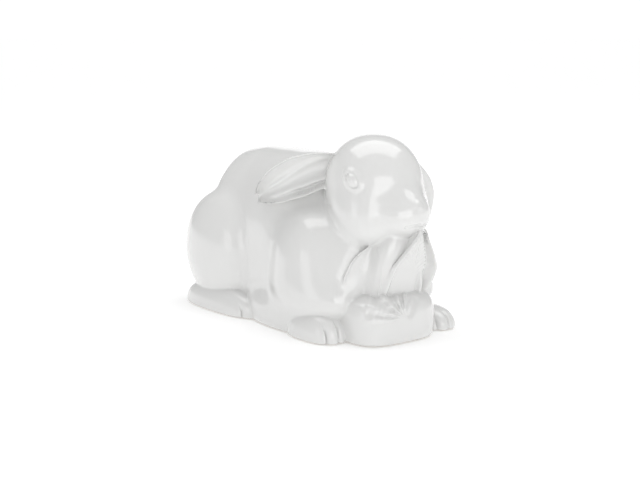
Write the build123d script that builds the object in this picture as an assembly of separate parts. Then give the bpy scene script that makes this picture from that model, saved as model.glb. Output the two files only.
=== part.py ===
from build123d import *
import math
import os

# A crouching lop-eared rabbit nibbling the leaf of a small cabbage, in glazed slip-cast ceramic.
# The rabbit faces -Y, its left is +X, and it stands on Z = 0. Lengths are in mm.

# Overall sizes, which the places of all pieces follow
length = 226.0
width = 100.0
height = 142.0

# Clay
wall = 4.0
floor = 5.0
vent_bore = 8.0
neck_bore = 30.0

# Head
head_width = 68.0
head_depth = 77.0
head_height = 77.0
cheek_width = 38.0
cheek_depth = 50.0
cheek_height = 44.0
muzzle_width = 38.0
muzzle_depth = 38.0
muzzle_height = 34.0
pad_width = 19.0
pad_depth = 24.0
pad_height = 20.0
chin_width = 22.0
chin_depth = 24.0
chin_height = 14.0
nose_width = 9.0
nose_depth = 8.0
nose_height = 7.0
lid_width = 10.0
lid_length = 21.0
lid_height = 14.0
lid_slant = 28.0
lid_turn = 20.0
eye_width = 12.0

# Ears
ear_width = 27.0
ear_cup = 6.0
far_ear_width = 30.0
far_ear_cup = 3.5

# Trunk, legs and tail
rump_width = 90.0
rump_length = 94.0
rump_height = 126.0
chest_width = 80.0
chest_length = 62.0
chest_height = 84.0
haunch_width = 50.0
haunch_length = 88.0
haunch_height = 92.0
shoulder_width = 38.0
shoulder_length = 58.0
shoulder_height = 94.0
shoulder_lean = 12.0
forearm_width = 30.0
forearm_length = 74.0
forearm_height = 40.0
foot_width = 27.0
foot_length = 92.0
foot_height = 21.0
paw_width = 29.0
paw_length = 52.0
paw_height = 16.0
toe_groove = 2.0
hind_toe_length = 14.0
fore_toe_length = 12.0
tail_width = 28.0
tail_length = 20.0
tail_height = 32.0

# Cabbage
heart_width = 42.0
heart_depth = 28.0
heart_height = 76.0
heart_lean = 15.0
leaf_cup = 4.0
upright_width = 51.0
side_leaf_width = 28.0
front_leaf_width = 72.0
front_leaf_depth = 58.0
front_leaf_height = 34.0

# Places, as shares of half the width, half the length and the height
head_place_shares = (0.0, -0.580, 0.718)
cheek_place_shares = (0.34, -0.66, 0.615)
muzzle_place_shares = (0.0, -0.84, 0.625)
pad_place_shares = (0.16, -0.86, 0.61)
chin_place_shares = (0.0, -0.80, 0.54)
nose_place_shares = (0.0, -0.965, 0.665)
lid_place_shares = (0.60, -0.665, 0.795)
eye_place_shares = (0.595, -0.67, 0.79)
neck_place_shares = (0.0, -0.34, 0.58)
haunch_place_shares = (0.73, 0.59, 0.315)
shoulder_place_shares = (0.70, -0.36, 0.29)
forearm_place_shares = (0.82, -0.27, 0.05)
foot_place_shares = (0.92, 0.51, 0.0)
tail_place_shares = (0.0, 0.92, 0.31)
right_paw_place_shares = (-0.88, -0.50, 0.0)
left_paw_place_shares = (0.86, -0.655, 0.0)
cabbage_place_shares = (-0.10, -0.63, 0.0)

# The trunk, station by station: along the half length, half width, height
trunk_shares = (
    (0.915, 0.34, 0.46),
    (0.87, 0.56, 0.64),
    (0.80, 0.74, 0.755),
    (0.66, 0.87, 0.845),
    (0.46, 0.94, 0.872),
    (0.22, 0.95, 0.872),
    (0.00, 0.93, 0.865),
    (-0.20, 0.86, 0.835),
    (-0.40, 0.73, 0.72),
    (-0.56, 0.60, 0.56),
    (-0.66, 0.46, 0.42),
    (-0.71, 0.34, 0.32),
)
# One side of a trunk section, from the ground to the back: across the half width, up the height
flank_shares = ((0.92, 0.0), (0.98, 0.18), (1.0, 0.38), (0.95, 0.62), (0.76, 0.84), (0.42, 0.965))

# The skull, station by station from the nape: along its half depth, half width, rise and drop
skull_shares = (
    (-0.96, 0.28, 0.28, 0.26),
    (-0.86, 0.53, 0.52, 0.50),
    (-0.62, 0.81, 0.83, 0.78),
    (-0.30, 0.955, 0.96, 0.95),
    (0.00, 1.00, 1.00, 1.00),
    (0.30, 0.92, 0.99, 0.98),
    (0.60, 0.745, 0.89, 0.88),
    (0.82, 0.53, 0.69, 0.70),
    (0.97, 0.26, 0.32, 0.42),
)
skull_shoulder_share = 0.755

rump_place_shares = (0.0, 0.54, 0.38)
chest_place_shares = (0.0, -0.46, 0.28)

# An ear section between its two rims, seen along the ear: across the half width, out of the cup
ear_hollow_shares = ((-0.5, -0.5), (0.0, -0.7), (0.5, -0.5))
ear_back_shares = ((0.85, -0.75), (0.5, -1.25), (0.0, -1.45), (-0.5, -1.25), (-0.85, -0.75))
# Along the ear, then the width there as a share of the full width
ear_station_shares = ((0.0, 0.72), (0.2, 0.86), (0.45, 1.0), (0.7, 0.84), (0.88, 0.52), (0.99, 0.2))
right_ear_route_shares = ((-0.36, -0.44, 0.83), (-0.80, -0.29, 0.78), (-1.06, 0.01, 0.65))
left_ear_route_shares = ((0.42, -0.60, 0.88), (1.00, -0.62, 0.69), (0.86, -0.61, 0.475))
# The way that the hollow of an ear faces, and of a leaf
right_ear_facing = (-0.7, -0.65, 0.2)
left_ear_facing = (0.75, -0.66, 0.0)
upright_facing = (0.0, -1.0, 0.0)
right_leaf_facing = (-0.66, -0.74, 0.0)
left_leaf_facing = (1.0, -0.5, 0.0)

# A section of the upright leaf: curled rims, a groove inside each, and the midrib
upright_hollow_shares = ((-0.93, 1.1), (-0.80, 1.0), (-0.62, 0.1), (-0.3, -0.2), (-0.12, 0.0),
                         (0.0, 0.5), (0.12, 0.0), (0.3, -0.2), (0.62, 0.1), (0.80, 1.0), (0.93, 1.1))
upright_back_shares = ((0.7, -0.75), (0.0, -1.1), (-0.7, -0.75))
upright_station_shares = ((0.0, 0.5), (0.16, 0.84), (0.32, 0.98), (0.5, 1.0), (0.7, 0.74), (0.88, 0.38),
                          (0.99, 0.15))
upright_route_shares = ((-0.09, -0.81, 0.18), (0.00, -0.875, 0.36), (0.06, -0.97, 0.555))
# A side leaf is plainer
side_hollow_shares = ((-0.85, 0.6), (-0.5, 0.0), (-0.1, 0.0), (0.0, 0.3), (0.1, 0.0), (0.5, 0.0),
                      (0.85, 0.6))
side_back_shares = ((0.6, -0.9), (0.0, -1.1), (-0.6, -0.9))
side_station_shares = ((0.0, 0.6), (0.25, 0.92), (0.5, 1.0), (0.75, 0.72), (0.97, 0.2))
right_leaf_route_shares = ((-0.48, -0.705, 0.14), (-0.56, -0.755, 0.31), (-0.43, -0.77, 0.475))
left_leaf_route_shares = ((0.26, -0.73, 0.08), (0.46, -0.75, 0.26), (0.30, -0.79, 0.46))
front_leaf_place_shares = (-0.09, -0.71, 0.0)
# Up the front leaf, then the width there as a share of the full width
front_leaf_station_shares = ((0.0, 0.96), (0.3, 1.0), (0.65, 0.98), (0.88, 0.88), (1.0, 0.62))
# Where the toe grooves lie across a foot
toe_turn_shares = (-0.5, 0.0, 0.5)
toe_fan = 16.0

half_length = length / 2
half_width = width / 2


def place(shares):
    """A point from its shares of the half width, the half length and the height."""
    return Vector(shares[0] * half_width, shares[1] * half_length, shares[2] * height)


def mirrored(shares):
    return (-shares[0], shares[1], shares[2])


def ellipsoid(centre, size, tilt=(0.0, 0.0, 0.0)):
    """A ball stretched to a width, length and height; tilt is in degrees about X, Y and Z."""
    ball = scale(Sphere(1), by=(size[0] / 2, size[1] / 2, size[2] / 2))
    return Pos(*centre) * Rot(*tilt) * ball


def pair(shares, size, tilt=(0.0, 0.0, 0.0)):
    """Two like ellipsoids, on the right and on the left."""
    right = ellipsoid(place(mirrored(shares)), size, tilt)
    return [right, mirror(right, about=Plane.YZ)]


def drawn_in(size, inset):
    return tuple(side - 2 * inset for side in size)


def fused(shapes):
    form = shapes[0]
    for shape in shapes[1:]:
        form = form + shape
    return form


def without(shape, others):
    """The shape cut back to the faces of the pieces that it is luted to; only its main lump stays."""
    left = shape - others
    return max(left.solids(), key=lambda lump: lump.volume)


def above(shape, level):
    """What stands above a level, such as the flat foot of the ware."""
    reach = length + width + height
    return shape & Pos(0, 0, level + reach / 2) * Box(reach, reach, reach)


def trunk_section(station, inset):
    along, across, up = station
    half = across * half_width - inset
    top = up * height - inset
    right = [(share[0] * half, share[1] * top) for share in flank_shares]
    left = [(-x, z) for x, z in reversed(right)]
    outline = Spline(*right, (0, top), *left) + Line(left[-1], right[0])
    plane = Plane(origin=(0, along * half_length, 0), x_dir=(1, 0, 0), z_dir=(0, -1, 0))
    return plane * make_face(outline)


def trunk_form(inset):
    """The trunk with its haunches and forelegs, each drawn in by the inset."""
    stations = trunk_shares if inset == 0 else trunk_shares[1:-1]
    forms = [loft([trunk_section(station, inset) for station in stations])]
    middle = ((rump_place_shares, (rump_width, rump_length, rump_height)),
              (chest_place_shares, (chest_width, chest_length, chest_height)))
    for shares, size in middle:
        forms.append(ellipsoid(place(shares), drawn_in(size, inset)))
    forms += pair(haunch_place_shares, drawn_in((haunch_width, haunch_length, haunch_height), inset))
    shoulder_size = drawn_in((shoulder_width, shoulder_length, shoulder_height), inset)
    forms += pair(shoulder_place_shares, shoulder_size, (shoulder_lean, 0.0, 0.0))
    forms += pair(forearm_place_shares, drawn_in((forearm_width, forearm_length, forearm_height), inset))
    return fused(forms)


def skull_section(station, inset):
    """The right half of a section across the skull."""
    along, across, rise, drop = station
    half = across * head_width / 2 - inset
    up = rise * head_height / 2 - inset
    down = drop * head_height / 2 - inset
    bend = skull_shoulder_share
    points = [(0, up), (bend * half, bend * up), (half, 0), (bend * half, -bend * down), (0, -down)]
    outline = Spline(*points, tangents=((half, 0), (-half, 0))) + Line(points[-1], points[0])
    origin = place(head_place_shares) - Vector(0, along * head_depth / 2, 0)
    plane = Plane(origin=origin, x_dir=(1, 0, 0), z_dir=(0, -1, 0))
    return plane * make_face(outline)


def head_form(inset):
    """Skull, cheeks and muzzle, each drawn in by the inset."""
    stations = skull_shares if inset == 0 else skull_shares[1:-1]
    half = loft([skull_section(station, inset) for station in stations])
    forms = [half + mirror(half, about=Plane.YZ)]
    forms += pair(cheek_place_shares, drawn_in((cheek_width, cheek_depth, cheek_height), inset))
    muzzle_size = drawn_in((muzzle_width, muzzle_depth, muzzle_height), inset)
    forms.append(ellipsoid(place(muzzle_place_shares), muzzle_size))
    return forms


def head_relief():
    """What stands out of the head: eyes in their lids, lip pads, chin and nose."""
    forms = [ellipsoid(place(nose_place_shares), (nose_width, nose_depth, nose_height)),
             ellipsoid(place(chin_place_shares), (chin_width, chin_depth, chin_height))]
    forms += pair(pad_place_shares, (pad_width, pad_depth, pad_height))
    forms += pair(lid_place_shares, (lid_width, lid_length, lid_height), (lid_slant, 0.0, lid_turn))
    forms += pair(eye_place_shares, (eye_width, eye_width, eye_width))
    return forms


def blade(route_shares, facing, full_width, cup, shares, station_shares):
    """A thin curved blade, an ear or a leaf, lofted along its route with its hollow towards facing."""
    route = Spline(*[place(point) for point in route_shares])
    sections = []
    for along, share in station_shares:
        tangent = route % along
        across = Vector(*facing).cross(tangent).normalized()
        plane = Plane(origin=route @ along, x_dir=across, z_dir=tangent)
        half = share * full_width / 2
        depth = cup * math.sqrt(share)
        hollow, back = [[(x * half, y * depth) for x, y in side] for side in shares]
        outline = Spline((-half, 0), *hollow, (half, 0)) + Spline((half, 0), *back, (-half, 0))
        sections.append(plane * make_face(outline))
    return loft(sections)


def foot_form(shares, size, toe_place):
    """A flat-soled foot with grooves between its toes."""
    centre = place(shares)
    form = ellipsoid(centre, (size[0], size[1], 2 * size[2]))
    grooves = []
    for turn in toe_turn_shares:
        toe = centre + Vector(turn * size[0] / 2, -size[1] / 2, 0)
        grooves.append(ellipsoid(toe, (toe_groove, 2 * toe_place, 2 * size[2]), (0, 0, -toe_fan * turn)))
    return above(form - grooves, 0)


def mound(centre, size, station_shares):
    """A low mass with an oval plan, lofted up its height."""
    ovals = []
    for up, share in station_shares:
        plan = Ellipse(share * size[0] / 2, share * size[1] / 2)
        ovals.append(Pos(*(centre + Vector(0, 0, up * size[2]))) * plan)
    return loft(ovals)


def neck_channel():
    """The bore that joins the two casts at the neck, so that the air inside can leave by the vent."""
    start = place(head_place_shares)
    end = place(neck_place_shares)
    along = end - start
    return Plane(origin=(start + end) / 2, z_dir=along) * Cylinder(neck_bore / 2, along.length)


def main():
    os.makedirs("parts", exist_ok=True)
    trunk = above(trunk_form(0), 0)
    head = fused(head_form(0) + head_relief())
    channel = neck_channel()
    vent = Pos(0, 0, floor / 2) * Cylinder(vent_bore / 2, 2 * floor)

    pieces = {}
    pieces["body_shell"] = trunk - [above(trunk_form(wall), floor), head, channel, vent]
    pieces["head_shell"] = head - [fused(head_form(wall)), channel]

    ear_shares = (ear_hollow_shares, ear_back_shares)
    ears = (("right_ear", right_ear_route_shares, right_ear_facing, ear_width, ear_cup),
            ("left_ear", left_ear_route_shares, left_ear_facing, far_ear_width, far_ear_cup))
    for name, route_shares, facing, full_width, cup in ears:
        ear = blade(route_shares, facing, full_width, cup, ear_shares, ear_station_shares)
        pieces[name] = without(ear, [head, trunk])

    tail = ellipsoid(place(tail_place_shares), (tail_width, tail_length, tail_height))
    pieces["tail"] = without(tail, [trunk])
    foot = foot_form(mirrored(foot_place_shares), (foot_width, foot_length, foot_height), hind_toe_length)
    pieces["right_hind_foot"] = without(foot, [trunk])
    pieces["left_hind_foot"] = mirror(pieces["right_hind_foot"], about=Plane.YZ)
    paws = {}
    for side, shares in (("left", left_paw_place_shares), ("right", right_paw_place_shares)):
        paw = foot_form(shares, (paw_width, paw_length, paw_height), fore_toe_length)
        paws[side] = without(paw, [trunk])
        pieces[side + "_fore_paw"] = paws[side]

    heart_size = (heart_width, heart_depth, 2 * heart_height)
    heart = ellipsoid(place(cabbage_place_shares), heart_size, (heart_lean, 0.0, 0.0))
    heart = without(above(heart, 0), [trunk, head, paws["left"], paws["right"]])
    pieces["cabbage_heart"] = heart
    upright_shares = (upright_hollow_shares, upright_back_shares)
    upright = blade(upright_route_shares, upright_facing, upright_width, leaf_cup, upright_shares,
                    upright_station_shares)
    upright = without(upright, [heart, trunk, head])
    pieces["upright_leaf"] = upright
    side_shares = (side_hollow_shares, side_back_shares)
    sides = []
    for name, route_shares, facing in (("right_side_leaf", right_leaf_route_shares, right_leaf_facing),
                                       ("left_side_leaf", left_leaf_route_shares, left_leaf_facing)):
        leaf = blade(route_shares, facing, side_leaf_width, leaf_cup, side_shares, side_station_shares)
        leaf = without(leaf, [heart, trunk, head, upright, paws["left"], paws["right"]])
        sides.append(leaf)
        pieces[name] = leaf
    front_size = (front_leaf_width, front_leaf_depth, front_leaf_height)
    front = mound(place(front_leaf_place_shares), front_size, front_leaf_station_shares)
    neighbours = [heart, trunk, upright, paws["left"], paws["right"], *sides]
    pieces["front_leaf"] = without(front, neighbours)

    for name, shape in pieces.items():
        export_step(shape, "parts/" + name + ".step")
        print(name, round(shape.volume))


if __name__ == "__main__":
    main()
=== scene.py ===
# %% [markdown]
# # A glazed ceramic rabbit
# The real figurine is slip-cast in a few moulds. Its casts and pressings are luted together with wet slip,
# then fired and glazed white, so the glaze runs over every seam and the pieces read as one soft form. Each
# piece here keeps its own name and its own closed mesh, and their surfaces meet without a step.

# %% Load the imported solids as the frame
import itertools
import math

import bpy
import numpy as np
from mathutils import Matrix, Vector


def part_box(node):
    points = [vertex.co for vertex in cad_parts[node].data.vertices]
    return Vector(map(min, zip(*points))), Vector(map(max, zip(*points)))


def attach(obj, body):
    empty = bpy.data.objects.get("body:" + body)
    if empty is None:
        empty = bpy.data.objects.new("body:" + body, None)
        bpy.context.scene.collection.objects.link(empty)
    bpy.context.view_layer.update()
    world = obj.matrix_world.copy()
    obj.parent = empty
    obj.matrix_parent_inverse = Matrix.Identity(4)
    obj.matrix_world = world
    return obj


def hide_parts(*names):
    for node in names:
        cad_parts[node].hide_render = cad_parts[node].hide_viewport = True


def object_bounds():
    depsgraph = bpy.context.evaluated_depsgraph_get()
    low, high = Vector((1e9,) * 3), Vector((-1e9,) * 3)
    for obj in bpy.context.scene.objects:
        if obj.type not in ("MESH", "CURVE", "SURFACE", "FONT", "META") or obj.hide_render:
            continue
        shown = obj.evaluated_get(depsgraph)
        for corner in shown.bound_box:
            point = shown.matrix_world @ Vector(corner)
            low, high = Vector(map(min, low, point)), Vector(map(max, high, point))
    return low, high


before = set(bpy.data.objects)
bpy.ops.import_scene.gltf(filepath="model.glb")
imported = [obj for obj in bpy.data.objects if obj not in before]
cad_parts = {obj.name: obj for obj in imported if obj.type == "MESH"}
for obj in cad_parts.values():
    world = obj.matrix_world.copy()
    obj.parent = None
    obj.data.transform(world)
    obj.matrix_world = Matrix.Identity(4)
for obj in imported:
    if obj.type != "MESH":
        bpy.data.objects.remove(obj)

solid_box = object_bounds()
print("solids:", len(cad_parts), "box:", [[round(v, 4) for v in corner] for corner in solid_box])

# %% [markdown]
# ## Millimetres on the rabbit
# The numbers below are in millimetres, on a rabbit 227.9 mm long. Blender works in metres. One factor,
# taken from the length of the solids, turns one into the other, so that every form below fits the frame.

# %% One millimetre of the rabbit, in metres
noted_length = 227.9
mm = (solid_box[1][1] - solid_box[0][1]) / noted_length
piece_boxes = {}
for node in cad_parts:
    low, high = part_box(node)
    piece_boxes[node] = (np.array(low) / mm, np.array(high) / mm)
print("one millimetre of the rabbit is", round(mm * 1000, 4), "mm")

# %% [markdown]
# ## The camera
# The photograph is taken from about 10 degrees above the table, 38 degrees to the right side of the
# rabbit's nose. The lens is a longish one: it sees 30 degrees across. The camera stands where that view
# puts it. A wider lens, closer by, would make the head too large against the haunches.

# %% Set up the camera
view_turn = math.radians(38.0)
view_rise = math.radians(10.0)
view_distance = 847.0
aim = Vector((-28.0, -40.0, 65.0))
to_camera = Vector((-math.cos(view_rise) * math.sin(view_turn), -math.cos(view_rise) * math.cos(view_turn),
                    math.sin(view_rise)))
camera = bpy.data.objects.new("camera", bpy.data.cameras.new("camera"))
bpy.context.scene.collection.objects.link(camera)
camera.location = (aim + view_distance * to_camera) * mm
camera.rotation_euler = to_camera.to_track_quat("Z", "Y").to_euler()
camera.data.sensor_width = 36.0
camera.data.lens = 67.16
camera.data.clip_end = 200.0
bpy.context.scene.camera = camera
print("camera at", [round(v, 3) for v in camera.location])

# %% [markdown]
# ## Clay as a distance field
# Clay is pushed together, smoothed over with a wet finger and scraped away. A signed distance field does
# the same in numbers: it is negative in the clay and positive in the air. Two lumps are melded with a
# fillet of a chosen radius, and a tool is carved out of a lump with a rounded edge. Joined meshes would
# keep hard seams.

# %% Lumps, and how they meld
def turned(points, turns):
    """The points in the axes of a lump that is turned about X, then Y, then Z."""
    for axis, degrees in ((2, turns[2]), (1, turns[1]), (0, turns[0])):
        if degrees:
            c, s = math.cos(math.radians(degrees)), math.sin(math.radians(degrees))
            i, j = [(1, 2), (2, 0), (0, 1)][axis]
            first, second = points[:, i], points[:, j]
            points = points.copy()
            points[:, i] = c * first + s * second
            points[:, j] = c * second - s * first
    return points


def lump(points, centre, radii, turns=(0, 0, 0), power=2.0):
    """The distance to a stretched ball; a power over 2 makes it a little squarer."""
    local = np.abs(turned(points - np.array(centre), turns)) / np.array(radii) + 1e-6
    size = (local ** power).sum(1) ** (1 / power)
    slope = np.linalg.norm((local / size[:, None]) ** (power - 1) / np.array(radii), axis=1)
    return (size - 1) / slope


def meld(a, b, radius):
    """Two lumps joined with a fillet."""
    overlap = np.maximum(radius - np.abs(a - b), 0) / radius
    return np.minimum(a, b) - overlap * overlap * radius / 4


def carve(clay, tool, radius):
    """The clay with a tool taken out, its edges rounded."""
    return -meld(-clay, tool, radius)


def add(clay, points, centre, radii, fillet):
    """The clay with one more lump melded into it."""
    return meld(clay, lump(points, centre, radii), fillet)


def paired(points):
    """The points folded onto the rabbit's right side, so that one lump serves both sides."""
    return np.column_stack((-np.abs(points[:, 0]), points[:, 1], points[:, 2]))


def bump(distance, width):
    """A rounded ridge of height 1 across a distance."""
    return np.exp(-((distance / width) ** 2))


def rise_to(value, start, end):
    """0 before the start, 1 after the end, and a smooth step between."""
    t = np.clip((value - start) / (end - start), 0, 1)
    return t * t * (3 - 2 * t)


# %% [markdown]
# ## The trunk
# The trunk is the largest cast. Its back rises in a dome over the haunches and runs almost level to the
# nape. Cross-sections along the spine give that line, as ribs give a boat its hull. The rump, chest,
# haunches, shoulders and forearms are pushed into it as lumps, with wide fillets where the photograph
# shows soft dips.

# %% The trunk's ribs and lumps
spine_places = np.array([-81.0, -74.6, -63.3, -45.2, -22.6, 0.0, 24.9, 52.0, 74.6, 90.4, 98.3, 104.0])
rib_half_widths = np.array([17.0, 23.0, 30.0, 36.5, 44.0, 49.0, 47.0, 44.0, 42.5, 37.0, 28.0, 17.0])
rib_heights = np.array([45.0, 59.6, 79.5, 103.0, 119.5, 123.2, 123.8, 123.8, 120.0, 107.0, 91.0, 66.0])
widest_share = 0.38
tuck_share = 0.08
rib_power = 2.4
end_rounding = 24.0
vent_radius = 4.0
vent_depth = 30.0
vent_rounding = 1.0
# Each lump has its place, its radii and the fillet that melds it in
rump = ((0, 61, 54), (45, 47, 63), 10.0)
chest = ((0, -52, 39.8), (38, 30, 42), 8.0)
haunch = ((-36.5, 66.7, 44.7), (25, 44, 46), 6.0)
breast = ((-22, -60, 46), (17, 23, 38), 14.0)
cuff = ((-39.5, -50, 27), (15, 31, 14), 18.0)
forearm = ((-40, -20, 7.1), (15, 50, 20), 8.0)
shoulder_place = (-35, -38, 43)
shoulder_radii = (22, 28, 40)
foreleg_fillet = 18.0
line_steps = 240
smoothing_steps = 25


def smooth_line(at, places, values):
    """A value along a line, without corners at the given places."""
    fine = np.linspace(places[0], places[-1], line_steps)
    dense = np.interp(fine, places, values)
    kernel = np.hanning(smoothing_steps) / np.hanning(smoothing_steps).sum()
    past_ends = smoothing_steps // 2
    padded = np.concatenate((np.full(past_ends, dense[0]), dense, np.full(past_ends, dense[-1])))
    return np.interp(at, fine, np.convolve(padded, kernel, "valid"))


def hull(points):
    across, along, up = points.T
    half = smooth_line(along, spine_places, rib_half_widths)
    top = smooth_line(along, spine_places, rib_heights)
    centre = widest_share * top
    above = np.maximum(up - centre, 0) / (top - centre)
    below = np.maximum(centre - up, 0) / centre
    side = np.abs(across) / (half * (1 - tuck_share * below ** 2)) + 1e-6
    size = (side ** rib_power + above ** rib_power) ** (1 / rib_power)
    slope_across = (side / size) ** (rib_power - 1) / half
    slope_up = (above / size) ** (rib_power - 1) / (top - centre)
    ends = np.maximum(along - spine_places[-1], spine_places[0] - along)
    return carve((size - 1) / np.hypot(slope_across, slope_up), -ends, end_rounding)


def trunk(points):
    both = paired(points)
    clay = add(hull(points), points, *rump)
    clay = add(clay, points, *chest)
    clay = add(clay, both, *haunch)
    clay = add(clay, both, *breast)
    foreleg = add(lump(both, shoulder_place, shoulder_radii), both, *cuff)
    clay = meld(clay, foreleg, foreleg_fillet)
    clay = add(clay, both, *forearm)
    vent = np.maximum(np.hypot(points[:, 0], points[:, 1]) - vent_radius, points[:, 2] - vent_depth)
    return carve(clay, vent, vent_rounding)


# %% [markdown]
# ## The head
# The head is one round cast with full cheeks and a blunt muzzle. The eyes, lips and nose are low relief:
# each eye is a ball in a shallow socket, inside a raised almond of lids that slants down to the nose. They
# could be sculpted with a brush, but lumps with written places and radii can be read, changed and
# mirrored, and their fillets keep the relief as soft as a glaze leaves it.

# %% The head, its face and its eyes
head_centre = (0, -65.5, 102)
head_radii = (32.5, 35.5, 38.5)
head_power = 2.15
cheek = ((-17, -74.6, 84.8), (17.5, 22, 21), 10.0)
muzzle = ((0, -94.9, 88.75), (18.5, 19, 17), 9.0)
lip_pad = ((-8, -97.2, 86.6), (9.5, 12, 10), 4.0)
chin = ((0, -90.4, 76.7), (11, 12, 7), 4.0)
nose = ((0, -109, 94.4), (4.5, 4.2, 3.6), 2.0)
mouth_height = 82.0
mouth_droop = 0.12
mouth_depth = 0.2
mouth_radius = 0.9
mouth_half_width = 9
mouth_back = -96
mouth_rounding = 1.2
eye_centre = np.array((-30.0, -78.0, 111.6))
eye_outward = np.array((-0.94, -0.29, 0.18))
eye_along = np.array((0.10, -0.84, -0.75))
# Places and radii along the eye, across it and out of the face
eye_lids = ((0, 0, -1.8), (9.8, 6.2, 4.0))
eye_socket = ((0, 0, 2.3), (7.4, 4.3, 3.9))
eyeball = ((0, 0, -1.6), (6.4, 4.7, 4.2))
lid_fillet = 2.0
socket_rounding = 0.8
eyeball_fillet = 0.5


def face_axes(outward, along):
    """Three square axes: along, across and outward."""
    outward = outward / np.linalg.norm(outward)
    across = np.cross(outward, along)
    across = across / np.linalg.norm(across)
    return np.column_stack((np.cross(across, outward), across, outward))


def head(points):
    both = paired(points)
    clay = lump(points, head_centre, head_radii, power=head_power)
    clay = add(clay, both, *cheek)
    clay = add(clay, points, *muzzle)
    clay = add(clay, both, *lip_pad)
    clay = add(clay, points, *chin)
    clay = add(clay, points, *nose)
    aside = np.abs(points[:, 0])
    off_line = points[:, 2] - mouth_height + mouth_droop * aside
    mouth = np.hypot(off_line, np.minimum(clay, 0) + mouth_depth) - mouth_radius
    beyond = np.maximum(aside - mouth_half_width, points[:, 1] - mouth_back)
    clay = carve(clay, np.maximum(mouth, beyond), mouth_rounding)
    local = (both - eye_centre) @ face_axes(eye_outward, eye_along)
    clay = meld(clay, lump(local, *eye_lids), lid_fillet)
    clay = carve(clay, lump(local, *eye_socket), socket_rounding)
    return meld(clay, lump(local, *eyeball), eyeball_fillet)


# %% [markdown]
# ## Thin sheets: ears and leaves
# Ears and leaves are pressed sheets of clay, cupped by hand while soft. A plane with a Solidify modifier
# would do for a loose one, but it can't be melded into its neighbours. So a sheet is a field too. It
# follows a curved route, has a width at each place along it, and a relief: how far its surface stands out
# of the flat.

# %% A sheet of clay along a route
past_rim = 1.1
rim_margin = 0.05


def sheet(points, route, facing, width_shares, half_width, half_thickness, relief):
    """The distance to a thin sheet. relief(u, t, s) is how far it stands out of the flat, where u is a share
    of its half width, t a share of its length and s the distance across in millimetres."""
    start, middle, end = (np.array(p, float) for p in route)
    axis = (end - start) / np.linalg.norm(end - start)
    length = np.linalg.norm(end - start)
    across = np.cross(np.array(facing, float), axis)
    across = across / np.linalg.norm(across)
    out = np.cross(axis, across)
    t = ((points - start) @ axis) / length
    inside = np.clip(t, 0.0, 1.0)
    bend = middle - (start + end) / 2
    line = start + np.outer(inside, end - start) + np.outer(4 * inside * (1 - inside), bend)
    rel = points - line
    s = rel @ across
    lift = rel @ out
    places, shares = np.array(width_shares).T
    half = np.maximum(smooth_line(inside, places, shares) * half_width, half_thickness + rim_margin)
    u = s / half
    beyond = np.maximum(np.maximum(-t, t - 1), 0) * length
    edge = np.maximum(np.abs(s) - (half - half_thickness), 0)
    off = lift - relief(np.clip(u, -past_rim, past_rim), inside, s)
    return np.sqrt(edge ** 2 + beyond ** 2 + off ** 2) - half_thickness


# %% [markdown]
# ## The ears
# The near ear is swept back and its tip rests on the flank. It is cupped, with a soft fold that runs from
# the top of its root down to the tip, and a rolled lower rim that stands clear of the body. The far ear
# hangs by the cheek. Cup, folds and rim are terms of one relief, so each can be made deeper on its own.

# %% The ears: outlines, routes and reliefs
ear_outline = ((0.0, 0.62), (0.2, 0.88), (0.45, 1.0), (0.7, 0.86), (0.88, 0.56), (1.0, 0.24))
near_ear_route = ((-17, -51, 119), (-40, -33, 111.5), (-53.5, 1.5, 92.5))
near_ear_facing = (-0.74, -0.65, -0.1)
near_ear_half_width = 15.0
near_ear_half_thickness = 1.5
near_ear_hollow = 9.0
near_ear_curl = 10.5
ear_rim = 1.0
hem_depth = 1.5
slit_depth = 3.0
fold_height = 2.2
lower_fold_height = 2.0
slit_place_share = 0.76
slit_width_share = 0.12
far_ear_outline = ((0.0, 0.5), (0.2, 0.62), (0.4, 0.9), (0.6, 1.0), (0.85, 0.7), (1.0, 0.3))
far_ear_route = ((25, -67, 124), (42, -70, 99), (40.5, -69, 66))
far_ear_facing = (0.3, -0.954, 0)
far_ear_half_width = 13.5
far_ear_half_thickness = 2.0
far_ear_hollow = 0.8
far_ear_curl = 1.0
far_ear_groove = 1.5


def near_ear_relief(u, t, s):
    middle = rise_to(t, 0.05, 0.2) * (1 - rise_to(t, 0.72, 0.95))
    fold = -0.5 + 0.45 * rise_to(t, 0.1, 0.75)
    lift = near_ear_curl * u ** 2 - near_ear_hollow + ear_rim * bump(np.abs(u) - 0.96, 0.07)
    slit = rise_to(t, 0.12, 0.3) * (1 - rise_to(t, 0.5, 0.7))
    lift = lift - (hem_depth * middle + slit_depth * slit) * bump(u - slit_place_share, slit_width_share)
    return lift + middle * (fold_height * bump(u - fold, 0.18) + lower_fold_height * bump(u - 0.5, 0.15))


def far_ear_relief(u, t, s):
    groove = far_ear_groove * bump(u - 0.35, 0.16) * (1 - rise_to(t, 0.75, 0.95))
    return far_ear_curl * u ** 2 - far_ear_hollow - groove


def near_ear(points):
    return sheet(points, near_ear_route, near_ear_facing, ear_outline, near_ear_half_width,
                 near_ear_half_thickness, near_ear_relief)


def far_ear(points):
    return sheet(points, far_ear_route, far_ear_facing, far_ear_outline, far_ear_half_width,
                 far_ear_half_thickness, far_ear_relief)


# %% [markdown]
# ## Feet and tail
# The feet are pressed separately and luted to the legs, so a dark crease stays above each one. Three
# grooves part the toes. They are carved with thin lumps that fan out a little, and a wide rounding lets
# them fade like the marks of a modelling tool. The tail is a short scut on the rump.

# %% Feet, paws and tail
foot_power = 2.5
toe_turns = (-0.5, 0.0, 0.5)
toe_fan = 16.0
groove_half_width = 1.0
groove_lift = 1.0
groove_height_share = 0.9
groove_inset = 0.9
groove_rounding = 3.0
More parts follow.
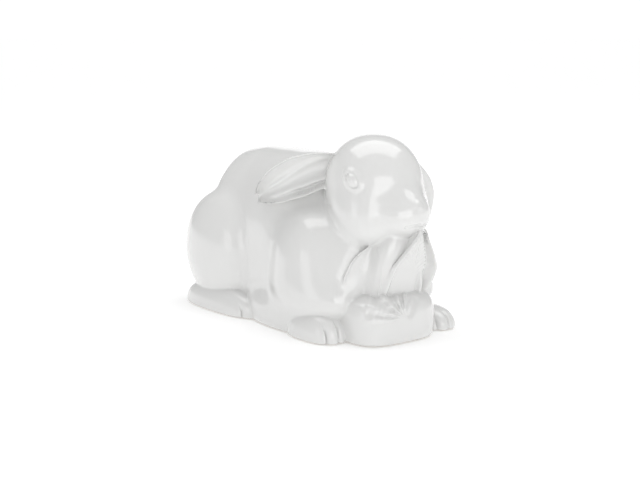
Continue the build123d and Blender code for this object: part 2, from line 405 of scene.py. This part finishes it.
# Each foot has its place, its radii and the length of the grooves between its toes
right_hind = ((-46, 57.6, 0), (13.5, 46, 20), 14.0)
left_hind = ((46, 57.6, 0), (13.5, 46, 20), 14.0)
right_paw = ((-44, -56.5, 0), (14.5, 26, 20.5), 12.0)
left_paw = ((43, -74, 0), (14.5, 26, 15.5), 12.0)
scut = ((0, 104, 44), (14, 10, 16))


def foot(points, centre, radii, toe_reach):
    """A flat-soled foot whose toes point to -Y."""
    clay = lump(points, centre, radii, power=foot_power)
    for turn in toe_turns:
        toe = (centre[0] + turn * radii[0], centre[1] - radii[1], centre[2] + groove_lift)
        groove_radii = (groove_half_width, toe_reach, radii[2] * groove_height_share)
        groove = lump(points, toe, groove_radii, (0, 0, -toe_fan * turn))
        clay = carve(clay, groove + groove_inset, groove_rounding)
    return clay


def right_hind_foot(points):
    return foot(points, *right_hind)


def left_hind_foot(points):
    return foot(points, *left_hind)


def right_fore_paw(points):
    return foot(points, *right_paw)


def left_fore_paw(points):
    return foot(points, *left_paw)


def tail(points):
    return lump(points, *scut)


# %% [markdown]
# ## The cabbage
# The cabbage is a core with leaves luted round it. Each standing leaf has a midrib, side veins that leave
# it at a slant, and the puckers between them. They belong to the sheet's relief and are no bump in the
# glaze, so they stay in the mesh. The rims of the upright leaf are curled forward, with a groove inside
# each.

# %% The standing leaves: outlines, routes and reliefs
upright_outline = ((0.0, 0.9), (0.16, 0.94), (0.32, 1.0), (0.5, 0.96), (0.7, 0.62), (0.88, 0.3), (1.0, 0.14))
near_outline = ((0.0, 0.75), (0.25, 0.97), (0.5, 1.0), (0.75, 0.85), (0.9, 0.55), (1.0, 0.25))
side_outline = ((0.0, 0.6), (0.25, 0.92), (0.5, 1.0), (0.75, 0.74), (1.0, 0.22))
upright_route = ((-1.0, -91.5, 26.5), (6.5, -99, 51.1), (4.0, -109.6, 78.6))
near_leaf_route = ((-25, -80, 20), (-26.5, -85.5, 43), (-19, -87, 65.5))
far_leaf_route = ((12, -82.5, 11.4), (19, -85, 37), (14, -90, 65))
upright_facing = (0, -1, 0)
near_leaf_facing = (-0.66, -0.74, 0)
far_leaf_facing = (1, -0.5, 0)
upright_half_width = 21.5
near_leaf_half_width = 13.0
far_leaf_half_width = 15.0
leaf_half_thickness = 1.5
rim_height = 4.0
rim_groove = 2.2
upright_length = 53.0
upright_cup = 1.5
side_leaf_length = 55.0
side_leaf_cup = 5.5
side_leaf_hollow = 3.5
side_rim_height = 0.8
faint_share = 0.35
midrib_height = 1.8
midrib_width = 1.6
vein_height = 1.0
pucker_height = 1.2
vein_spacing = 7.5
vein_slant = 0.8


def veins(u, t, s, length):
    """Midrib, side veins and puckers, as a height in millimetres."""
    fade = 1 - rise_to(np.abs(u), 0.55, 0.8)
    phase = ((t * length - vein_slant * np.abs(s)) / vein_spacing) % 1.0
    side = bump(phase - 0.5, 0.13) * rise_to(np.abs(s), 0.5, 2.5)
    pucker = np.sin(math.pi * ((phase + 0.5) % 1.0)) * rise_to(np.abs(s), 1.0, 4.0)
    midrib = midrib_height * bump(s, midrib_width) * (1 - 0.5 * t)
    return midrib + fade * (vein_height * side + pucker_height * pucker)


def upright_relief(u, t, s):
    rim = rim_height * bump(np.abs(u) - 0.91, 0.15)
    groove = rim_groove * bump(np.abs(u) - 0.66, 0.10)
    return rim - groove + upright_cup * u ** 2 + veins(u, t, s, upright_length) - midrib_height


def side_relief(u, t, s):
    rim = side_rim_height * bump(np.abs(u) - 0.95, 0.08)
    faint_veins = faint_share * veins(u, t, s, side_leaf_length)
    return side_leaf_cup * u ** 2 - side_leaf_hollow + rim + faint_veins


def upright_leaf(points):
    return sheet(points, upright_route, upright_facing, upright_outline, upright_half_width,
                 leaf_half_thickness, upright_relief)


def near_side_leaf(points):
    return sheet(points, near_leaf_route, near_leaf_facing, near_outline, near_leaf_half_width,
                 leaf_half_thickness, side_relief)


def far_side_leaf(points):
    return sheet(points, far_leaf_route, far_leaf_facing, side_outline, far_leaf_half_width,
                 leaf_half_thickness, side_relief)


# %% [markdown]
# ## The core and the low leaves
# The core stands behind the upright leaf, against the chest. In front of it lie low outer leaves, pressed
# into one bowl. Nothing shows between them, so they are one lump and not several sheets: a fan of veins is
# raised on its wall, and a groove and a fold beside it part the leaves.

# %% The core and the low leaves in front
heart_place = (-1.5, -74, 0)
heart_radii = (22, 15, 81)
heart_turns = (15, 0, 0)
heart_power = 3.0
bowl_place = (-4.5, -80.2, 13)
bowl_radii = (34.5, 28.5, 21)
bowl_power = 3.4
side_fold = ((18, -92, 17), (9, 10, 17), 4.0)
groove_top = (10, -104, 38)
groove_foot = (-3, -109.5, 20)
groove_radius = 1.2
groove_edge = 3.5
fan_across = (0.79, -0.61)
fan_root = (60.0, 18.5)
vein_count = 16
fan_depth = 0.3
fan_pucker = 0.5
fan_start = (1, 11)
fan_end = (25, 30)
fan_foot = (-3, 4)
fan_side = (-3, 1)


def heart(points):
    return lump(points, heart_place, heart_radii, heart_turns, heart_power)


def front_leaf(points):
    """The low bowl of outer leaves: a smooth wall, a fan of veins on it, a groove and a fold beside them."""
    clay = lump(points, bowl_place, bowl_radii, power=bowl_power)
    clay = add(clay, points, *side_fold)
    left = fan_root[0] - points[:, 0] * fan_across[0] - points[:, 1] * fan_across[1]
    up = points[:, 2] - fan_root[1]
    reach = np.hypot(left, up)
    angle = np.arctan2(up, left)
    mask = rise_to(reach, *fan_start) * (1 - rise_to(reach, *fan_end))
    mask = mask * rise_to(up, *fan_foot) * rise_to(left, *fan_side)
    pucker = fan_pucker * np.sin(reach * 0.9 + 2 * angle)
    clay = clay - mask * (fan_depth + vein_height * np.cos(vein_count * angle) + pucker)
    start = np.array(groove_top)
    run = np.array(groove_foot) - start
    along = np.clip((points - start) @ run / (run @ run), 0, 1)
    groove = np.linalg.norm(points - start - along[:, None] * run, axis=1) - groove_radius
    return carve(clay, groove, groove_edge)


# %% [markdown]
# ## One glaze over all the pieces
# The pieces are listed with the fillet that each makes with what is already there. The skin of a piece is
# the skin of the whole, as far as that piece is the nearest one. Past that line it dips under its
# neighbour in a gentle curve and ends, so two skins cross without a step, as under a coat of glaze. A
# Boolean union would look the same, but it fuses the pieces, and here each one keeps its own mesh.

# %% The pieces, their fillets and the foot that they stand on
forms = {
    "body_shell": (trunk, 0.0),
    "head_shell": (head, 6.0),
    "right_ear": (near_ear, 2.5),
    "left_ear": (far_ear, 2.0),
    "tail": (tail, 3.0),
    "right_hind_foot": (right_hind_foot, 1.5),
    "left_hind_foot": (left_hind_foot, 1.5),
    "right_fore_paw": (right_fore_paw, 1.0),
    "left_fore_paw": (left_fore_paw, 1.0),
    "cabbage_heart": (heart, 2.0),
    "upright_leaf": (upright_leaf, 1.2),
    "right_side_leaf": (near_side_leaf, 1.5),
    "left_side_leaf": (far_side_leaf, 1.5),
    "front_leaf": (front_leaf, 1.5),
}
dip_width = 1.5
dip_reach = 3.5
foot_rounding = 2.0
far_away = 1e3


def neighbours(name, margin):
    """The pieces whose boxes come within a margin of this piece's box."""
    low, high = piece_boxes[name]
    found = []
    for other in forms:
        other_low, other_high = piece_boxes[other]
        if np.all(other_low < high + margin) and np.all(other_high > low - margin):
            found.append(other)
    return found


def glazed(name, margin=10.0):
    """The field of one piece under the common glaze."""
    near = neighbours(name, margin)

    def field(points):
        own = np.full(len(points), far_away)
        others = np.full(len(points), far_away)
        whole = None
        for other in near:
            form, fillet = forms[other]
            value = form(points)
            if other == name:
                own = value
            else:
                others = np.minimum(others, value)
            whole = value if whole is None else meld(whole, value, fillet)
        past = own - others
        dipped = np.maximum(whole + np.maximum(past, 0) ** 2 / (2 * dip_width), past - dip_reach)
        return carve(dipped, points[:, 2], foot_rounding)

    return field


print("neighbours of the head:", neighbours("head_shell", 10.0))

# %% [markdown]
# ## From a field to a mesh
# The field is sampled on a grid, but only in the blocks that the surface may cross. One corner goes into
# each small cell that the surface crosses, and one face round each grid edge that it crosses. The corners
# are then pulled onto the exact surface along the field's slope. The result is an even mesh of squares.
# Marching cubes are better known, but they leave slivers, which a glossy glaze shows as flecks.

# %% Sample the field near the surface
def sample(field, low, high, spacing, block=4, reach=3.2, batch=200000):
    """Grid values of the field, exact near its surface."""
    counts = np.ceil((high - low) / (spacing * block)).astype(int)
    rough_axes = [low[k] + spacing * block * np.arange(counts[k] + 1) for k in range(3)]
    rough_points = np.stack(np.meshgrid(*rough_axes, indexing="ij"), -1).reshape(-1, 3)
    rough = field(rough_points).reshape(counts + 1)
    near = np.abs(rough) < reach * spacing * block
    active = np.zeros(counts, bool)
    for i, j, k in itertools.product((0, 1), repeat=3):
        active |= near[i:i + counts[0], j:j + counts[1], k:k + counts[2]]
    size = counts * block + 1
    base, cells = rough[:-1, :-1, :-1], active
    for axis in range(3):
        base, cells = np.repeat(base, block, axis), np.repeat(cells, block, axis)
    values = np.pad(base, [(0, 1)] * 3, mode="edge")
    wanted = np.zeros(size, bool)
    for i, j, k in itertools.product((0, 1), repeat=3):
        wanted[i:i + size[0] - 1, j:j + size[1] - 1, k:k + size[2] - 1] |= cells
    index = np.argwhere(wanted)
    for part in np.array_split(np.arange(len(index)), max(1, len(index) // batch)):
        values[tuple(index[part].T)] = field(low + spacing * index[part])
    return values


# %% Turn the samples into corners and faces
def skin(values):
    """Corners, in grid steps, and faces of four corners round every grid edge that the surface crosses."""
    cells = np.array(values.shape) - 1
    total, count, crossings = np.zeros((cells.prod(), 3)), np.zeros(cells.prod()), []
    for axis in range(3):
        start = [slice(1, -1)] * 3
        start[axis] = slice(0, -1)
        stop = list(start)
        stop[axis] = slice(1, None)
        a, b = values[tuple(start)], values[tuple(stop)]
        offset = np.array([0 if k == axis else 1 for k in range(3)])
        found = np.argwhere((a < 0) != (b < 0))
        va, vb = a[tuple(found.T)], b[tuple(found.T)]
        grid = found + offset
        at = grid.astype(float)
        at[:, axis] += va / (va - vb)
        i, j = [k for k in range(3) if k != axis]
        around = []
        for di, dj in ((0, 0), (1, 0), (1, 1), (0, 1)):
            cell = grid.copy()
            cell[:, i] -= di
            cell[:, j] -= dj
            flat = np.ravel_multi_index(cell.T, cells)
            around.append(flat)
            count += np.bincount(flat, minlength=len(count))
            for k in range(3):
                total[:, k] += np.bincount(flat, at[:, k], minlength=len(count))
        around = np.column_stack(around)
        flip = (va < 0) != (axis == 1)
        around[flip] = around[flip][:, ::-1]
        crossings.append(around)
    used = count > 0
    number = np.full(len(count), -1)
    number[used] = np.arange(used.sum())
    return total[used] / count[used][:, None], number[np.concatenate(crossings)]


# %% Pull the corners onto the surface and make a Blender mesh
def pulled(field, corners, rounds=2, step=0.05, least_slope=0.2, longest_move=0.5):
    """The corners, moved along the slope of the field onto its surface."""
    for _ in range(rounds):
        value = field(corners)
        slope = np.column_stack([(field(corners + step * d) - value) / step for d in np.eye(3)])
        steep = np.maximum((slope ** 2).sum(1), least_slope)
        move = slope * (value / steep)[:, None]
        far = np.maximum(np.linalg.norm(move, axis=1), longest_move)[:, None]
        corners = corners - move * longest_move / far
    return corners


def sculpt(name, spacing, margin=9.0, below_foot=0.31):
    """The mesh of one piece, riding in place of its solid. Its grid ends just below the foot."""
    low, high = piece_boxes[name]
    low = low - margin
    low[2] = max(low[2], -2 * spacing - below_foot)
    field = glazed(name)
    corners, faces = skin(sample(field, low, high + margin, spacing))
    corners = pulled(field, low + spacing * corners)
    mesh = bpy.data.meshes.new(name)
    mesh.from_pydata((corners * mm).tolist(), [], faces.tolist())
    mesh.shade_smooth()
    piece = bpy.data.objects.new("glazed_" + name, mesh)
    bpy.context.scene.collection.objects.link(piece)
    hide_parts(name)
    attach(piece, "root")
    pairs = np.sort(np.concatenate([faces[:, [k, (k + 1) % 4]] for k in range(4)]), axis=1)
    shared = np.unique(pairs, axis=0, return_counts=True)[1]
    open_edges = int((shared % 2).sum())
    doubled_edges = int((shared > 2).sum())
    print(name, len(faces), "faces, open edges:", open_edges, "doubled:", doubled_edges)
    return piece


# %% [markdown]
# ## Sculpting the pieces
# Broad forms need few squares, and relief such as veins, lids and toes needs small ones. So each piece has
# a spacing of its own, in millimetres. One spacing for all would be wasted on the back or too coarse for a
# leaf.

# %% Sculpt every piece
spacings = {"body_shell": 1.1, "head_shell": 0.8, "right_ear": 0.6, "left_ear": 0.7, "tail": 0.9,
            "right_hind_foot": 0.8, "left_hind_foot": 0.8, "right_fore_paw": 0.7, "left_fore_paw": 0.7,
            "cabbage_heart": 0.8, "upright_leaf": 0.5, "right_side_leaf": 0.6, "left_side_leaf": 0.6,
            "front_leaf": 0.6}
pieces = {name: sculpt(name, spacing) for name, spacing in spacings.items()}

# %% [markdown]
# ## The glaze
# The glaze is a clear, very smooth glass over a white body. It is not one flat white: its tone and its
# polish drift a little from place to place, and its surface has the faint waviness of melted glass. Under
# the foot it is wiped off, so the bare, slightly warm and matt clay shows there. A painted image would
# need unwrapped pieces. Noise in the axes that all the pieces share needs none, and runs on over the
# seams.

# %% Shader nodes, and how they are joined
def add_node(tree, kind, **values):
    """A shader node with its settings; an underscore in the name of a socket stands for a space."""
    made = tree.nodes.new(kind)
    for key, value in values.items():
        socket = key.replace("_", " ")
        if socket in made.inputs:
            made.inputs[socket].default_value = value
        else:
            setattr(made, key, value)
    return made


def link(tree, source, output, target, socket):
    tree.links.new(source.outputs[output], target.inputs[socket])


# %% Make the glaze
thin_white = (0.755, 0.755, 0.746, 1)
thick_white = (0.785, 0.785, 0.777, 1)
bare_clay = (0.74, 0.70, 0.64, 1)
bare_roughness = 0.85
wiped_height = 0.3 * mm
glazed_height = 0.9 * mm
ripple_depth = 0.0002

glaze = bpy.data.materials.new("white_glaze")
glaze.use_nodes = True
glaze_tree = glaze.node_tree
shader = glaze_tree.nodes["Principled BSDF"]
shader.inputs["IOR"].default_value = 1.52
shader.inputs["Coat Weight"].default_value = 1.0
shader.inputs["Coat Roughness"].default_value = 0.03

place = add_node(glaze_tree, "ShaderNodeTexCoord")
drift = add_node(glaze_tree, "ShaderNodeTexNoise", Scale=14.0, Detail=3.0, Roughness=0.5)
link(glaze_tree, place, "Object", drift, "Vector")
tone = add_node(glaze_tree, "ShaderNodeMix", data_type="RGBA", A=thin_white, B=thick_white)
link(glaze_tree, drift, "Fac", tone, "Factor")
polish = add_node(glaze_tree, "ShaderNodeMapRange", To_Min=0.16, To_Max=0.24)
link(glaze_tree, drift, "Fac", polish, "Value")

# %% Wipe the foot bare
height = add_node(glaze_tree, "ShaderNodeSeparateXYZ")
link(glaze_tree, place, "Object", height, "Vector")
above_foot = add_node(glaze_tree, "ShaderNodeMapRange", From_Min=wiped_height, From_Max=glazed_height)
link(glaze_tree, height, "Z", above_foot, "Value")
colour = add_node(glaze_tree, "ShaderNodeMix", data_type="RGBA", A=bare_clay)
link(glaze_tree, above_foot, "Result", colour, "Factor")
link(glaze_tree, tone, "Result", colour, "B")
link(glaze_tree, colour, "Result", shader, "Base Color")
gloss = add_node(glaze_tree, "ShaderNodeMix", data_type="FLOAT", A=bare_roughness)
link(glaze_tree, above_foot, "Result", gloss, "Factor")
link(glaze_tree, polish, "Result", gloss, "B")
link(glaze_tree, gloss, "Result", shader, "Roughness")

# %% Ripple the glaze and lay it on
ripple = add_node(glaze_tree, "ShaderNodeTexNoise", Scale=160.0, Detail=2.0, Roughness=0.4)
link(glaze_tree, place, "Object", ripple, "Vector")
wave = add_node(glaze_tree, "ShaderNodeBump", Strength=0.25, Distance=ripple_depth)
link(glaze_tree, ripple, "Fac", wave, "Height")
link(glaze_tree, wave, "Normal", shader, "Normal")
for piece in pieces.values():
    piece.data.materials.append(glaze)
print("glazed", len(pieces), "pieces")

# %% [markdown]
# ## The table
# The rabbit was photographed on white. The table is a plain matt white, a hair below the foot, and it
# glows a little more with distance, so that it runs into the white behind without an edge. A curved
# backdrop does the same in a studio, but it would stand in the way of a view from behind.

# %% Lay the table
table_reach = 30.0
table_gap = 0.0002
table_white = (0.95, 0.95, 0.95, 1)
white = (1, 1, 1, 1)

table_mesh = bpy.data.meshes.new("table")
table_corners = [(x * table_reach, y * table_reach, 0) for x, y in ((-1, -1), (1, -1), (1, 1), (-1, 1))]
table_mesh.from_pydata(table_corners, [], [(0, 1, 2, 3)])
table = bpy.data.objects.new("table", table_mesh)
bpy.context.scene.collection.objects.link(table)
table.location.z = -table_gap
table_paint = bpy.data.materials.new("table_paint")
table_paint.use_nodes = True
table_tree = table_paint.node_tree
table_shader = table_tree.nodes["Principled BSDF"]
table_shader.inputs["Base Color"].default_value = table_white
table_shader.inputs["Roughness"].default_value = 0.8
table_shader.inputs["Emission Color"].default_value = white
from_centre = add_node(table_tree, "ShaderNodeTexCoord")
distance = add_node(table_tree, "ShaderNodeVectorMath", operation="LENGTH")
glow = add_node(table_tree, "ShaderNodeMapRange", From_Min=0.2, From_Max=1.0, To_Min=0.2, To_Max=0.5)
link(table_tree, from_centre, "Object", distance, 0)
link(table_tree, distance, "Value", glow, "Value")
link(table_tree, glow, "Result", table_shader, "Emission Strength")
table_mesh.materials.append(table_paint)
print("table laid", table_gap * 1000, "mm below the foot")

# %% [markdown]
# ## The sky
# A dim, even sky fills the shadows. It is white only straight behind the rabbit, as the camera sees it,
# since a white sky all round would turn the sides of the glaze white too.

# %% Make the sky
behind_rabbit = (0.616, 0.788, 0.0)

sky = bpy.data.worlds.new("sky")
bpy.context.scene.world = sky
sky.use_nodes = True
sky_tree = sky.node_tree
background = sky_tree.nodes["Background"]
background.inputs["Color"].default_value = white
direction = add_node(sky_tree, "ShaderNodeTexCoord")
toward_backdrop = add_node(sky_tree, "ShaderNodeVectorMath", operation="DOT_PRODUCT")
toward_backdrop.inputs[1].default_value = behind_rabbit
link(sky_tree, direction, "Generated", toward_backdrop, 0)
backdrop = add_node(sky_tree, "ShaderNodeMapRange", From_Min=0.92, From_Max=0.96, To_Min=0.0, To_Max=0.55)
link(sky_tree, toward_backdrop, "Value", backdrop, "Value")
upward = add_node(sky_tree, "ShaderNodeSeparateXYZ")
link(sky_tree, direction, "Generated", upward, 0)
fill = add_node(sky_tree, "ShaderNodeMapRange", From_Min=0.0, From_Max=0.45, To_Min=0.53, To_Max=0.51)
link(sky_tree, upward, "Z", fill, "Value")
total = add_node(sky_tree, "ShaderNodeMath", operation="ADD")
link(sky_tree, backdrop, "Result", total, 0)
link(sky_tree, fill, "Result", total, 1)
link(sky_tree, total, "Value", background, "Strength")
bpy.context.scene.view_settings.view_transform = "Standard"
print("sky made,", len(sky_tree.nodes), "nodes")

# %% [markdown]
# ## The panels
# The light is soft: a broad panel overhead, a window-like panel near the camera and a small one at the
# rabbit's right side. Their reflections lie on the crown, the brow, the muzzle and the shoulder. A point
# lamp would be simpler, but a glossy glaze shows the shape of each lamp, and a point makes a hard dot.

# %% Hang the panels
aim_at = Vector((0, -30, 70)) * mm
across_table = Vector((0.788, -0.616, 0.0))
along_rabbit = Vector((0.0, 1.0, 0.0))
# Each panel has its direction, distance, two sides, power and the way that its first side runs
panels = {
    "overhead_panel": ((0.09, 0.115, 0.989), 0.9, (1.5, 0.75), 5.3, across_table),
    "window_panel": ((-0.383, -0.925, 0.04), 1.3, (1.2, 1.05), 6.3, across_table),
    "side_panel": ((-0.97, 0.08, 0.12), 1.3, (0.4, 0.45), 0.5, along_rabbit),
}


def hang(name, direction, distance, sides, power, across):
    """A soft rectangular light that faces the rabbit, with its first side as near to across as can be."""
    light = bpy.data.lights.new(name, "AREA")
    light.shape = "RECTANGLE"
    light.size, light.size_y = sides
    light.energy = power
    lamp = bpy.data.objects.new(name, light)
    bpy.context.scene.collection.objects.link(lamp)
    toward = Vector(direction).normalized()
    lamp.location = aim_at + toward * distance
    wide = (across - across.dot(toward) * toward).normalized()
    lamp.rotation_euler = Matrix((wide, toward.cross(wide), toward)).transposed().to_euler()


for name, settings in panels.items():
    hang(name, *settings)
print("panels hung:", ", ".join(panels))
